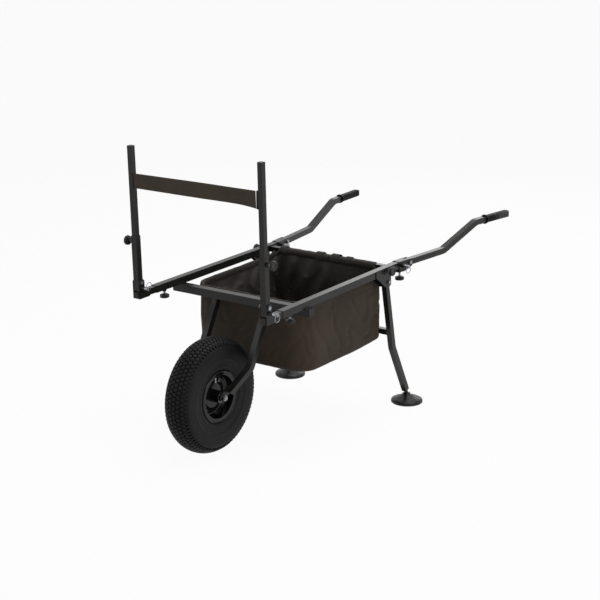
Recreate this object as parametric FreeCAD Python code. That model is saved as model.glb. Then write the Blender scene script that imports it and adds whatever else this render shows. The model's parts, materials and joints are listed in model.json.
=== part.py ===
import FreeCAD, Part

import math
import os

from FreeCAD import Vector

# A one-wheel field barrow: tube frame, folding front uprights with a fabric band between them,
# folding handles, folding rear legs with mud feet, and an open fabric bag hung between the rails.
#
# Everything is drawn on the bench with the rails level, in millimetres:
#   X across the barrow (+X is its right side), Y to the rear, Z up,
#   Z = 0 on the top faces of the rails, Y = 0 on the front face of the front crossbar.
# At the end the whole barrow is tipped by stance_tilt and set down on its wheel and feet, so that
# the floor is Z = 0 and the origin lies under the middle of its length and width.

# ---------------------------------------------------------------- driving dimensions
stance_tilt = 2.0             # degrees that the rails rise towards the handles

# clearances
slide_gap = 0.25              # between a tube and the tube or cheek that it slides in
post_gap = 0.5                # between the upright and the post inside it
pin_gap = 0.06                # radial, a pin or bolt in its hole
near_gap = 0.3                # between faces of moving pieces that nearly touch
plug_gap = 0.1                # plastic plug in a tube

# rails and crossbars
rail_size = 25.0
rail_spacing = 540.0          # centre to centre
rail_front = -125.0
rail_rear = 565.0
bar_size = 22.0               # bars that slide in the rails, and the handles
bar_wall = 1.5
crossbar_size = 28.0
crossbar_wall = 2.0
crossbar_overhang = 10.0      # past the outer face of each rail
rear_bar_size = 20.0
rear_bar_y = 522.0
rear_bar_drop = 4.0           # of its top face, below the top of the rails
rear_bar_wall = 1.5

# wheel
wheel_radius = 200.0
wheel_y = -168.0
wheel_z = -329.0
tyre_half_width = 49.0
tread_half_width = 38.0
tread_shoulder_drop = 12.0
tyre_thickness = 7.0
tread_thickness = 12.0
rim_flange_radius = 90.5
rim_flange_x = 40.0
bead_radius = 77.0
rim_sheet = 2.5
hub_radius = 21.0
hub_half_length = 48.0
bearing_radius = 17.5
bearing_width = 11.0
hub_waist_radius = 14.0
axle_radius = 7.5
rim_bolt_radius = 4.0
rim_bolt_circle = 57.0
rim_bolt_count = 4
valve_radius = 3.5
inner_tube_wall = 2.0

# fork
fork_size = 22.0
fork_wall = 1.75
fork_x = 108.0                # centre of each arm under the crossbar
fork_bend_y = -88.0
fork_bend_z = -238.0
fork_end_x = 62.0
fork_end_y = -141.0
fork_end_z = -316.0
fork_bend_radius = 38.0
dropout_thickness = 5.0
dropout_x = 50.0              # inner face of each dropout plate
axle_nut_size = 11.0          # half the width across the corners
axle_nut_height = 10.0

# front slide bars, upright brackets, uprights and posts
bar_front = -215.0
bar_length = 300.0
cheek = 3.0                   # thickness of every bracket cheek
upright_size = 22.0
upright_wall = 1.5
upright_y = -201.5
upright_foot_z = 2.0
upright_top_z = 193.0
upright_pivot_z = 31.0
upright_lock_z = 13.0
upright_cheek_top = 41.0
upright_cheek_rear = -186.0
upright_cheek_toe = -162.0    # the cheeks' low part runs back along the bar
post_size = 18.0
post_wall = 1.5
post_bottom_z = 135.0
post_top_z = 495.0
post_cap = 3.0
pivot_radius = 4.0
band_top_z = 406.5
band_bottom_z = 357.0
band_thickness = 3.0
band_setback = 2.0            # of the band's face behind the posts' front faces

# clamp knobs
knob_radius = 17.0
knob_length = 14.0
knob_lobes = 6
knob_lobe_radius = 5.5
knob_lobe_depth = 1.6
stud_radius = 4.0
boss_radius = 7.5
boss_length = 8.0
front_knob_y = -73.0
front_knob_reach = 17.0       # from the rail's lower face to the knob
upright_knob_z = 172.0
upright_knob_reach = 18.0
leg_knob_y = 490.0
leg_knob_z = -12.5
leg_knob_reach = 9.0
handle_knob_reach = 33.0      # from the handle's lower face to the knob

# lock pins
lock_radius = 4.0
lock_barrel_radius = 6.5
lock_barrel = 16.0           # of the barrel that guides the pin, on the cheek
lock_head_radius = 6.0
lock_head = 20.0
ring_radius = 12.0
ring_wire = 1.1

# handles
handle_splay = 7.2            # degrees outwards
handle_z = -12.5
handle_start = 6.0            # distances along the handle, from the bracket's back plate
handle_lock = 10.0
handle_knob = 17.0
handle_pivot = 60.0
handle_bend_1 = 266.0
handle_bend_2 = 465.0
handle_end = 667.0
handle_rise = 70.0            # from the lower to the upper straight
handle_droop = 6.0            # of the grip's end below the upper bend
handle_bend_radius = 60.0
back_plate = 3.0
handle_cheek_length = 73.0
handle_cheek_drop = 38.0
handle_top_length = 45.0      # of the plate over the handle's front end
handle_toe_length = 34.0      # of the cheeks' deepest part
grip_start = 528.0
grip_size = 26.0
grip_flange_radius = 18.0
grip_flange = 6.0
grip_overrun = 5.0

# legs and feet
leg_size = 20.0
leg_wall = 1.5
leg_pivot_y = 492.0
leg_pivot_z = -55.0
leg_bend_y = 537.0
leg_bend_z = -313.0
leg_kick = 25.5               # degrees that the lower part leans to the rear
leg_bend_radius = 60.0
leg_top_above_pivot = 12.0
leg_brace_z = -253.0
foot_radius = 59.0
foot_rim = 8.0
foot_bolt_height = 31.0
foot_neck_radius = 13.0
foot_hollow = 4.0
tongue = 6.0                  # thickness of the leg's flat tongue in the foot
tongue_width = 14.0
foot_bolt_radius = 3.0

# bag
bag_half_width = 240.0
bag_front = 40.0
bag_rear = 510.0
bag_top = -27.0
bag_bottom = -276.0
bag_cloth = 5.0
bag_corner = 70.0
hem_half_width = 215.0
hem_cloth = 3.0
tab_x = 150.0                 # of the two webbing tabs behind the front crossbar
tab_width = 40.0
tab_lap = 22.0

# ---------------------------------------------------------------- worked-out places
rail_x = rail_spacing / 2
rail_wall = (rail_size - bar_size) / 2 - slide_gap
bar_z = -rail_size / 2
bar_rear = bar_front + bar_length
crossbar_half = rail_x + rail_size / 2 + crossbar_overhang
crossbar_top = -rail_size
fork_top_z = crossbar_top - crossbar_size
fork_top_y = crossbar_size / 2
cheek_inner = bar_size / 2 + slide_gap
cheek_outer = cheek_inner + cheek
knob_face_gap = boss_length
tilt = math.radians(stance_tilt)
splay = math.radians(handle_splay)
kick = math.radians(leg_kick)
floor_level = wheel_y * math.sin(tilt) + wheel_z * math.cos(tilt) - wheel_radius
SIDES = {"left": -1, "right": 1}


# ---------------------------------------------------------------- small shapes
def block(x0, x1, y0, y1, z0, z1):
    """A box between two corners, given in any order."""
    low = Vector(min(x0, x1), min(y0, y1), min(z0, z1))
    high = Vector(max(x0, x1), max(y0, y1), max(z0, z1))
    size = high - low
    return Part.makeBox(size.x, size.y, size.z, low)


def rod(radius, start, end):
    """A round bar from one point to another."""
    return Part.makeCylinder(radius, (end - start).Length, start, end - start)


def tube_along(axis, size, wall, centre, start, end):
    """A straight square tube along an axis; centre gives its place across that axis."""
    half = size / 2
    bore = half - wall
    limits = {"x": 0, "y": 1, "z": 2}
    shapes = []
    for reach, extra in ((half, 0.0), (bore, 1.0)):
        low = [c - reach for c in centre]
        high = [c + reach for c in centre]
        low[limits[axis]] = start - extra
        high[limits[axis]] = end + extra
        shapes.append(block(low[0], high[0], low[1], high[1], low[2], high[2]))
    return shapes[0].cut(shapes[1])


def bent_path(points, radius):
    """A wire through the points, with each inner corner rounded to the radius."""
    edges = []
    start = points[0]
    for before, corner, after in zip(points, points[1:], points[2:]):
        back = (before - corner).normalize()
        ahead = (after - corner).normalize()
        half_angle = back.getAngle(ahead) / 2
        run = radius / math.tan(half_angle)
        enter = corner + back * run
        leave = corner + ahead * run
        bisector = (back + ahead).normalize()
        middle = corner + bisector * (radius / math.sin(half_angle) - radius)
        edges.append(Part.LineSegment(start, enter).toShape())
        edges.append(Part.Arc(enter, middle, leave).toShape())
        start = leave
    edges.append(Part.LineSegment(start, points[-1]).toShape())
    return Part.Wire(edges)


def square_wire(size, centre, across, up):
    """A square outline about a centre, its sides along the two directions."""
    half = size / 2
    signs = ((-1, -1), (1, -1), (1, 1), (-1, 1), (-1, -1))
    return Part.makePolygon([centre + across * (half * a) + up * (half * b) for a, b in signs])


def bent_tube(points, radius, size, wall, across):
    """A square tube swept along a path with round bends."""
    path = bent_path(points, radius)
    along = (points[1] - points[0]).normalize()
    up = along.cross(across).normalize()
    side = up.cross(along)
    outer = path.makePipeShell([square_wire(size, points[0], side, up)], True, False)
    inner = path.makePipeShell([square_wire(size - 2 * wall, points[0], side, up)], True, False)
    return Part.Solid(outer).cut(Part.Solid(inner))


def plate(outline, x0, x1):
    """A flat plate across X, from an outline of (y, z) points."""
    points = [Vector(x0, y, z) for y, z in outline]
    face = Part.Face(Part.makePolygon(points + [points[0]]))
    return face.extrude(Vector(x1 - x0, 0, 0))


def turned(outline, centre):
    """A body turned about the X direction through a centre, from (x, radius) points."""
    points = [centre + Vector(x, 0, r) for x, r in outline]
    face = Part.Face(Part.makePolygon(points + [points[0]]))
    return face.revolve(centre, Vector(1, 0, 0), 360)


def sheet_outline(line, thickness):
    """The closed outline of a pressed sheet, from its middle line."""
    half = thickness / 2
    normals = []
    for (x0, r0), (x1, r1) in zip(line, line[1:]):
        length = math.hypot(x1 - x0, r1 - r0)
        normals.append(((r0 - r1) / length, (x1 - x0) / length))
    near, far = [], []
    for i, (x, r) in enumerate(line):
        first = normals[max(i - 1, 0)]
        second = normals[min(i, len(normals) - 1)]
        mitre = 1 + first[0] * second[0] + first[1] * second[1]
        dx = (first[0] + second[0]) / mitre * half
        dr = (first[1] + second[1]) / mitre * half
        near.append((x + dx, r + dr))
        far.append((x - dx, r - dr))
    return near + far[::-1]


def hexagon(radius, height, centre, direction):
    """A hexagon bar; radius reaches its corners."""
    points = []
    across = Vector(0, 0, 1)
    other = direction.cross(across).normalize()
    for i in range(7):
        angle = math.radians(60 * i)
        points.append(centre + across * (radius * math.cos(angle)) + other * (radius * math.sin(angle)))
    return Part.Face(Part.makePolygon(points)).extrude(direction * height)


def one(*shapes):
    """Welded or moulded together: one solid."""
    return shapes[0].multiFuse(list(shapes[1:])).removeSplitter()


# ---------------------------------------------------------------- frame
def rail(side):
    x = side * rail_x
    tube = tube_along("y", rail_size, rail_wall, [x, 0, bar_z], rail_front, rail_rear)
    boss_top = Vector(x, front_knob_y, -rail_size)
    boss = rod(boss_radius, boss_top, boss_top - Vector(0, 0, boss_length))
    hole = rod(stud_radius + pin_gap, boss_top + Vector(0, 0, rail_wall + 1),
               boss_top - Vector(0, 0, boss_length + 1))
    lock = rod(stud_radius + pin_gap, Vector(x + side * rail_size / 2 - side * 5, leg_knob_y, leg_knob_z),
               Vector(x + side * rail_size, leg_knob_y, leg_knob_z))
    return one(tube, boss).cut(hole).cut(lock)


def front_crossbar():
    centre = [0, crossbar_size / 2, crossbar_top - crossbar_size / 2]
    return tube_along("x", crossbar_size, crossbar_wall, centre, -crossbar_half, crossbar_half)


def rear_crossbar():
    inner_face = rail_x - rail_size / 2
    centre = [0, rear_bar_y, -rear_bar_drop - rear_bar_size / 2]
    return tube_along("x", rear_bar_size, rear_bar_wall, centre, -inner_face, inner_face)


def fork_arm(side):
    top = Vector(side * fork_x, fork_top_y, fork_top_z)
    bend = Vector(side * fork_x, fork_bend_y, fork_bend_z)
    end = Vector(side * fork_end_x, fork_end_y, fork_end_z)
    above = top + (top - bend).normalize() * fork_size
    arm = bent_tube([above, bend, end], fork_bend_radius, fork_size, fork_wall, Vector(1, 0, 0))
    arm = arm.cut(block(side * (fork_x - 40), side * (fork_x + 40), -60, 90, fork_top_z, fork_top_z + 80))
    x0 = side * dropout_x
    x1 = side * (dropout_x + dropout_thickness)
    eye = rod(15, Vector(x0, wheel_y, wheel_z), Vector(x1, wheel_y, wheel_z))
    outline = [(wheel_y - 9, wheel_z + 11), (wheel_y + 11, wheel_z - 10), (fork_end_y + 24, fork_end_z + 2),
               (fork_end_y + 22, fork_end_z + 20), (fork_end_y - 2, fork_end_z + 18)]
    dropout = plate(outline, x0, x1).fuse(eye)
    arm = arm.cut(block(side * (dropout_x - 12), x1, wheel_y - 60, wheel_y + 120, wheel_z - 60, wheel_z + 60))
    hole = rod(axle_radius + pin_gap, Vector(x0 - side, wheel_y, wheel_z), Vector(x1 + side, wheel_y, wheel_z))
    return one(arm, dropout).cut(hole)


def tube_caps():
    """Plastic plugs in both ends of the front crossbar."""
    solids = []
    bore = crossbar_size - 2 * crossbar_wall - 2 * plug_gap
    y = crossbar_size / 2
    z = crossbar_top - crossbar_size / 2
    for side in SIDES.values():
        end = side * crossbar_half
        cap = block(end, end + side * 2, y - crossbar_size / 2, y + crossbar_size / 2,
                    z - crossbar_size / 2, z + crossbar_size / 2)
        plug = block(end - side * 14, end, y - bore / 2, y + bore / 2, z - bore / 2, z + bore / 2)
        solids.append(one(cap, plug))
    return solids


def leg_bracket(side):
    """Two cheeks on the rail's side faces, with the leg's pivot below the rail."""
    outline = [(414, -2), (507, -2), (509, -66), (493, -76), (476, -72), (434, -37), (415, -24)]
    solids = []
    for face in (-1, 1):
        x0 = side * rail_x + face * rail_size / 2
        cheek_plate = plate(outline, x0, x0 + face * cheek)
        pivot = Vector(x0 - face, leg_pivot_y, leg_pivot_z)
        cheek_plate = cheek_plate.cut(rod(pivot_radius + pin_gap, pivot, pivot + Vector(face * (cheek + 2), 0, 0)))
        stud = Vector(x0 - face, leg_knob_y, leg_knob_z)
        if face == side:
            cheek_plate = cheek_plate.cut(rod(stud_radius + pin_gap, stud, stud + Vector(face * (cheek + 2), 0, 0)))
        solids.append(cheek_plate)
    return solids


def handle_frame(side):
    """Origin and directions of a handle: along it, across it and up."""
    origin = Vector(side * rail_x, rail_rear + back_plate, handle_z)
    along = Vector(side * math.sin(splay), math.cos(splay), 0)
    across = Vector(math.cos(splay), -side * math.sin(splay), 0)
    return origin, along, across


def handle_bracket(side):
    """A back plate on the rail's end, two cheeks and a plate over the handle's front end."""
    origin, along, across = handle_frame(side)
    half = rail_size / 2
    x = side * rail_x
    low = handle_z + bar_size / 2 + near_gap
    high = low + cheek
    back = block(x - half - cheek, x + half + cheek, rail_rear, rail_rear + back_plate, -handle_cheek_drop, high)
    outline = [(-3, high), (handle_top_length, high), (handle_cheek_length, 0), (handle_cheek_length, -rail_size),
               (handle_toe_length, -handle_cheek_drop), (-3, -handle_cheek_drop)]
    pieces = [back]
    foot = Vector(x, rail_rear + back_plate, 0)
    for face in (-1, 1):
        offset = across * (face * cheek_inner)
        points = [foot + offset + along * s + Vector(0, 0, z) for s, z in outline]
        cheek_face = Part.Face(Part.makePolygon(points + [points[0]]))
        pieces.append(cheek_face.extrude(across * (face * cheek)))
    corners = [(-3, -cheek_inner), (handle_top_length, -cheek_inner), (handle_top_length, cheek_inner),
               (-3, cheek_inner)]
    points = [foot + along * s + across * a + Vector(0, 0, low) for s, a in corners]
    pieces.append(Part.Face(Part.makePolygon(points + [points[0]])).extrude(Vector(0, 0, cheek)))
    pieces.append(lock_barrel_shape(origin + along * handle_lock, across))
    bracket = one(*pieces)
    bracket = bracket.cut(block(x - 40, x + 40, rail_rear - 20, rail_rear, -60, 20))
    for s, radius in ((handle_pivot, pivot_radius), (handle_lock, lock_radius)):
        middle = origin + along * s
        reach = across * (cheek_outer + lock_barrel + 5)
        bracket = bracket.cut(rod(radius + pin_gap, middle - reach, middle + reach))
    return bracket


def pivot_bolt(middle, across, reach):
    """A hexagon-headed bolt across two cheeks, with its nut; one solid."""
    left = middle - across * reach
    right = middle + across * reach
    shank = rod(pivot_radius, left - across * 7, right)
    head = hexagon(7.5, 5, right, across)
    nut = hexagon(7.5, 6, left, across * -1)
    return one(shank, head, nut)


def pivot_bolts():
    """The bolts that the two legs and the two handles turn on."""
    bolts = []
    for side in SIDES.values():
        leg_middle = Vector(side * rail_x, leg_pivot_y, leg_pivot_z)
        bolts.append(pivot_bolt(leg_middle, Vector(side, 0, 0), rail_size / 2 + cheek))
        origin, along, across = handle_frame(side)
        bolts.append(pivot_bolt(origin + along * handle_pivot, across * side, cheek_outer))
    return bolts


# ---------------------------------------------------------------- wheel
def wheel_centre():
    return Vector(0, wheel_y, wheel_z)


def arc3(centre, a, b, c):
    """An arc through three (x, radius) points."""
    points = [centre + Vector(x, 0, r) for x, r in (a, b, c)]
    return Part.Arc(*points).toShape()


def line2(centre, a, b):
    points = [centre + Vector(x, 0, r) for x, r in (a, b)]
    return Part.LineSegment(*points).toShape()


def tyre():
    """A C-shaped casing: crown, two side walls and a bead on each edge."""
    c = wheel_centre()
    shoulder = (tread_half_width, wheel_radius - tread_shoulder_drop)
    belly = (tyre_half_width, wheel_radius * 0.75)
    lip = (rim_flange_x + 1.5, rim_flange_radius + 4)
    bead_x = rim_flange_x - rim_sheet / 2 - 1.3 - near_gap
    bead_top = (bead_x, rim_flange_radius - 3)
    bead_out = (bead_x, bead_radius)
    bead_in = (bead_x - 10, bead_radius)
    wall_in = (bead_x - 8, rim_flange_radius + 8)
    belly_in = (tyre_half_width - tyre_thickness, wheel_radius * 0.75)
    crown_in = (tread_half_width - 9, wheel_radius - tread_thickness - 4)

    def flip(p):
        return (-p[0], p[1])

    edges = [
        arc3(c, flip(shoulder), (0, wheel_radius), shoulder),
        arc3(c, shoulder, belly, lip),
        line2(c, lip, bead_top),
        line2(c, bead_top, bead_out),
        line2(c, bead_out, bead_in),
        line2(c, bead_in, wall_in),
        arc3(c, wall_in, belly_in, crown_in),
        arc3(c, crown_in, (0, wheel_radius - tread_thickness), flip(crown_in)),
        arc3(c, flip(crown_in), flip(belly_in), flip(wall_in)),
        line2(c, flip(wall_in), flip(bead_in)),
        line2(c, flip(bead_in), flip(bead_out)),
        line2(c, flip(bead_out), flip(bead_top)),
        line2(c, flip(bead_top), flip(lip)),
        arc3(c, flip(lip), flip(belly), flip(shoulder)),
    ]
    return Part.Face(Part.Wire(Part.__sortEdges__(edges))).revolve(c, Vector(1, 0, 0), 360)


def oval(middle, half_width, half_height):
    """An ellipse in an X-Z plane."""
    edge = Part.Ellipse(middle, max(half_width, half_height), min(half_width, half_height)).toShape()
    edge.rotate(middle, Vector(1, 0, 0), 90)
    if half_height > half_width:
        edge.rotate(middle, Vector(0, 1, 0), 90)
    return edge


def inner_tube():
    """A closed rubber ring inside the casing."""
    c = wheel_centre()
    low = bead_radius + 5
    high = wheel_radius - tread_thickness - 0.5
    middle = c + Vector(0, 0, (low + high) / 2)
    half_height = (high - low) / 2
    half_width = tyre_half_width - tyre_thickness - 4
    faces = []
    for shrink in (0.0, inner_tube_wall):
        edge = oval(middle, half_width - shrink, half_height - shrink)
        faces.append(Part.Face(Part.Wire([edge])).revolve(c, Vector(1, 0, 0), 360))
    return faces[0].cut(faces[1])


def rim_half(side):
    """A pressed steel half rim: flange, bead seat, flat web for the bolts and a raised dish."""
    web_x = rim_sheet / 2
    seat = bead_radius - rim_sheet / 2 - 0.1
    line = [(rim_flange_x + 3.5, rim_flange_radius - 1.0), (rim_flange_x, rim_flange_radius - 4.0),
            (rim_flange_x, seat), (12, seat), (web_x + 1.5, seat - 8), (web_x, 64), (web_x, 50),
            (web_x + 10, 42), (web_x + 10, hub_radius + 0.05)]
    half = turned([(side * x, r) for x, r in sheet_outline(line, rim_sheet)], wheel_centre())
    for place in rim_bolt_places():
        half = half.cut(rod(rim_bolt_radius + pin_gap, place - Vector(20, 0, 0), place + Vector(20, 0, 0)))
    if side > 0:
        half = half.cut(rod(valve_radius + near_gap, valve_place(50), valve_place(bead_radius + 6)))
    return half


def rim_bolt_places():
    places = []
    for i in range(rim_bolt_count):
        angle = math.radians(45 + 360 * i / rim_bolt_count)
        places.append(wheel_centre() + Vector(0, math.cos(angle), math.sin(angle)) * rim_bolt_circle)
    return places


def rim_bolts():
    bolts = []
    for place in rim_bolt_places():
        shank = rod(rim_bolt_radius, place - Vector(rim_sheet + 7, 0, 0), place + Vector(rim_sheet, 0, 0))
        head = hexagon(7.5, 5, place + Vector(rim_sheet, 0, 0), Vector(1, 0, 0))
        nut = hexagon(7.5, 6, place - Vector(rim_sheet, 0, 0), Vector(-1, 0, 0))
        bolts.append(one(shank, head, nut))
    return bolts


def valve_place(radius):
    return wheel_centre() + Vector(24, 0, radius)


def valve_stem():
    stem = rod(valve_radius, valve_place(56), valve_place(bead_radius + 3))
    cap = rod(valve_radius + 1, valve_place(48), valve_place(56))
    return one(stem, cap)


def hub():
    c = wheel_centre()
    reach = Vector(hub_half_length, 0, 0)
    body = rod(hub_radius, c - reach, c + reach)
    seat_start = Vector(hub_half_length - bearing_width, 0, 0)
    body = body.cut(rod(hub_waist_radius, c - reach * 1.1, c + reach * 1.1))
    for side in (-1, 1):
        body = body.cut(rod(bearing_radius, c + seat_start * side, c + reach * side * 1.1))
    return body


def hub_bearings():
    """Two ball bearings, each drawn as one ring."""
    c = wheel_centre()
    rings = []
    for side in (-1, 1):
        start = c + Vector(side * (hub_half_length - bearing_width + 0.05), 0, 0)
        end = c + Vector(side * hub_half_length, 0, 0)
        ring = rod(bearing_radius - 0.02, start, end)
        rings.append(ring.cut(rod(axle_radius + pin_gap, c - Vector(90, 0, 0), c + Vector(90, 0, 0))))
    return rings


def axle():
    reach = Vector(dropout_x + dropout_thickness + axle_nut_height + 3, 0, 0)
    return rod(axle_radius, wheel_centre() - reach, wheel_centre() + reach)


def axle_nuts():
    """A nut outside and a thin spacer inside each dropout."""
    solids = []
    c = wheel_centre()
    for side in (-1, 1):
        outward = Vector(side, 0, 0)
        outer = c + outward * (dropout_x + dropout_thickness)
        nut = hexagon(axle_nut_size, axle_nut_height, outer, outward)
        bore = rod(axle_radius + pin_gap, c, c + outward * 90)
        solids.append(nut.cut(bore))
        spacer = rod(11, c + outward * (hub_half_length + near_gap), c + outward * dropout_x)
        solids.append(spacer.cut(bore))
    return solids


# ---------------------------------------------------------------- front slides, uprights, band
def slide_bar(side):
    x = side * rail_x
    bar = tube_along("y", bar_size, bar_wall, [x, 0, bar_z], bar_front, bar_rear)
    return bar


def bar_cap(side):
    x = side * rail_x
    half = bar_size / 2
    bore = half - bar_wall - plug_gap
    cap = block(x - half, x + half, bar_front - 2, bar_front, bar_z - half, bar_z + half)
    plug = block(x - bore, x + bore, bar_front, bar_front + 12, bar_z - bore, bar_z + bore)
    return one(cap, plug)


def upright_bracket(side):
    """Two L-shaped cheeks welded to the slide bar's sides, standing up beside the upright."""
    front = bar_front + 1
    low = bar_z - bar_size / 2 - 2
    outline = [(front, low), (upright_cheek_toe, low), (upright_cheek_toe, -6), (upright_cheek_rear, 6),
               (upright_cheek_rear, upright_cheek_top - 6), (upright_cheek_rear - 6, upright_cheek_top),
               (front + 6, upright_cheek_top), (front, upright_cheek_top - 6)]
    solids = []
    for face in (-1, 1):
        x0 = side * rail_x + face * bar_size / 2
        x1 = side * rail_x + face * cheek_outer
        cheek_plate = plate(outline, x0, x1)
        relief = block(x0 - face, side * rail_x + face * cheek_inner, front - 1, upright_cheek_rear + 1,
                       bar_z + bar_size / 2 + 0.5, upright_cheek_top + 1)
        cheek_plate = cheek_plate.cut(relief)
        if face > 0:
            lock = Vector(side * rail_x, upright_y, upright_lock_z)
            cheek_plate = one(cheek_plate, lock_barrel_shape(lock, Vector(1, 0, 0)))
        for z, radius in ((upright_pivot_z, pivot_radius), (upright_lock_z, lock_radius)):
            place = Vector(x0 - face, upright_y, z)
            reach = Vector(face * (cheek + lock_barrel + 3), 0, 0)
            cheek_plate = cheek_plate.cut(rod(radius + pin_gap, place, place + reach))
        solids.append(cheek_plate)
    return solids


def upright_bolt(side):
    return pivot_bolt(Vector(side * rail_x, upright_y, upright_pivot_z), Vector(side, 0, 0), cheek_outer)


def upright(side):
    x = side * rail_x
    tube = tube_along("z", upright_size, upright_wall, [x, upright_y, 0], upright_foot_z, upright_top_z)
    face = Vector(x + side * upright_size / 2, upright_y, upright_knob_z)
    out = Vector(side, 0, 0)
    boss = rod(boss_radius, face, face + out * boss_length)
    hole = rod(stud_radius + pin_gap, face - out * (upright_wall + 1), face + out * (boss_length + 1))
    pivot = Vector(x, upright_y, upright_pivot_z)
    reach = Vector(upright_size, 0, 0)
    return one(tube, boss).cut(hole).cut(rod(pivot_radius + pin_gap, pivot - reach, pivot + reach))


def post(side):
    return tube_along("z", post_size, post_wall, [side * rail_x, upright_y, 0], post_bottom_z, post_top_z)


def post_top_cap(side):
    x = side * rail_x
    half = post_size / 2
    bore = half - post_wall - plug_gap
    cap = block(x - half, x + half, upright_y - half, upright_y + half, post_top_z, post_top_z + post_cap)
    plug = block(x - bore, x + bore, upright_y - bore, upright_y + bore, post_top_z - 12, post_top_z)
    return one(cap, plug)


def front_band():
    """The fabric band between the posts."""
    inner_face = rail_x - post_size / 2
    front = upright_y - post_size / 2 + band_setback
    return block(-inner_face + near_gap, inner_face, front, front + band_thickness, band_bottom_z, band_top_z)


# ---------------------------------------------------------------- handles
def handle_points(side):
    origin, along, _ = handle_frame(side)
    up = Vector(0, 0, 1)
    return [
        origin + along * handle_start,
        origin + along * handle_bend_1,
        origin + along * handle_bend_2 + up * handle_rise,
        origin + along * handle_end + up * (handle_rise - handle_droop),
    ]


def handle(side):
    origin, along, across = handle_frame(side)
    tube = bent_tube(handle_points(side), handle_bend_radius, bar_size, bar_wall, across)
    middle = origin + along * handle_pivot
    tube = tube.cut(rod(pivot_radius + pin_gap, middle - across * bar_size, middle + across * bar_size))
    screw = origin + along * handle_knob
    reach = Vector(0, 0, bar_size)
    return tube.cut(rod(stud_radius + pin_gap, screw - reach, screw + reach))


def grip(side):
    """A moulded grip with a round flange, over the handle's end."""
    _, _, bend, end = handle_points(side)
    _, _, across = handle_frame(side)
    direction = (end - bend).normalize()
    up = across.cross(direction).normalize()
    start = bend + direction * (grip_start - handle_bend_2)
    finish = end + direction * grip_overrun
    sleeve = Part.Face(square_wire(grip_size, start, across, up)).extrude(finish - start)
    flange = rod(grip_flange_radius, start - direction * grip_flange, start)
    grip_body = one(sleeve, flange)
    bore = square_wire(bar_size + 2 * plug_gap, start - direction * (grip_flange + 1), across, up)
    return grip_body.cut(Part.Face(bore).extrude(direction * ((end - start).Length + grip_flange + 1)))


# ---------------------------------------------------------------- legs and feet
def foot_bolt_point(side):
    """Where the foot hangs: on the line of the leg's lower part, a set height over the floor."""
    height = leg_bend_y * math.sin(tilt) + leg_bend_z * math.cos(tilt) - floor_level
    fall = math.cos(kick) * math.cos(tilt) - math.sin(kick) * math.sin(tilt)
    run = (height - foot_bolt_height) / fall
    return Vector(side * rail_x, leg_bend_y + run * math.sin(kick), leg_bend_z - run * math.cos(kick))


def leg(side):
    x = side * rail_x
    pivot = Vector(x, leg_pivot_y, leg_pivot_z)
    bend = Vector(x, leg_bend_y, leg_bend_z)
    bolt = foot_bolt_point(side)
    down = (bolt - bend).normalize()
    top = pivot + (pivot - bend).normalize() * leg_top_above_pivot
    end = bolt - down * 26
    tube = bent_tube([top, bend, end], leg_bend_radius, leg_size, leg_wall, Vector(1, 0, 0))
    across = Vector(1, 0, 0)
    up = down.cross(across).normalize()
    end_plate = Part.Face(square_wire(leg_size, end, across, up)).extrude(down * 3)
    start = end + down * 3
    half = tongue / 2
    wide = up * (tongue_width / 2)
    corners = [start - wide, start + wide, bolt + wide, bolt - wide]
    corners = [c - Vector(half, 0, 0) for c in corners]
    flat = Part.Face(Part.makePolygon(corners + [corners[0]])).extrude(Vector(tongue, 0, 0))
    eye = rod(tongue_width / 2, bolt - Vector(half, 0, 0), bolt + Vector(half, 0, 0))
    tongue_piece = one(end_plate, flat, eye)
    reach = Vector(leg_size, 0, 0)
    leg_body = one(tube, tongue_piece)
    leg_body = leg_body.cut(rod(pivot_radius + pin_gap, pivot - reach, pivot + reach))
    return leg_body.cut(rod(foot_bolt_radius + pin_gap, bolt - reach, bolt + reach))


def leg_brace():
    share = (leg_pivot_z - leg_brace_z) / (leg_pivot_z - leg_bend_z)
    y = leg_pivot_y + share * (leg_bend_y - leg_pivot_y)
    inner_face = rail_x - leg_size / 2
    return tube_along("x", leg_size, leg_wall, [0, y, leg_brace_z], -inner_face, inner_face)


def foot(side):
    """A wide mud foot with a hollow underside and a slotted neck for the leg's tongue."""
    base = Vector(0, 0, 0)
    outline = [(0, foot_hollow), (foot_radius - 14, foot_hollow), (foot_radius - 8, 0), (foot_radius - 3, 0),
               (foot_radius, 3), (foot_radius, foot_rim), (foot_radius - 4, foot_rim + 4),
               (foot_neck_radius, foot_bolt_height - 8), (foot_neck_radius, foot_bolt_height + 8),
               (0, foot_bolt_height + 8)]
    points = [base + Vector(r, 0, z) for r, z in outline]
    body = Part.Face(Part.makePolygon(points + [points[0]])).revolve(base, Vector(0, 0, 1), 360)
    slot_half = tongue / 2 + near_gap
    slot_low = foot_bolt_height - tongue_width / 2 - 3
    slot = block(-slot_half, slot_half, -foot_radius, foot_radius, slot_low, foot_bolt_height + 20)
    body = body.cut(slot)
    bolt = Vector(0, 0, foot_bolt_height)
    body = body.cut(rod(foot_bolt_radius + pin_gap, bolt - Vector(40, 0, 0), bolt + Vector(40, 0, 0)))
    place = foot_bolt_point(side)
    body.translate(place - bolt)
    body.rotate(place, Vector(1, 0, 0), -stance_tilt)
    return body


def foot_bolts():
    bolts = []
    for side in SIDES.values():
        middle = foot_bolt_point(side)
        out = Vector(side, 0, 0)
        reach = foot_neck_radius + near_gap
        shank = rod(foot_bolt_radius, middle - out * (reach + 5), middle + out * reach)
        head = hexagon(5.5, 4, middle + out * reach, out)
        nut = hexagon(5.5, 4, middle - out * reach, out * -1)
        bolts.append(one(shank, head, nut))
    return bolts


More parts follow.
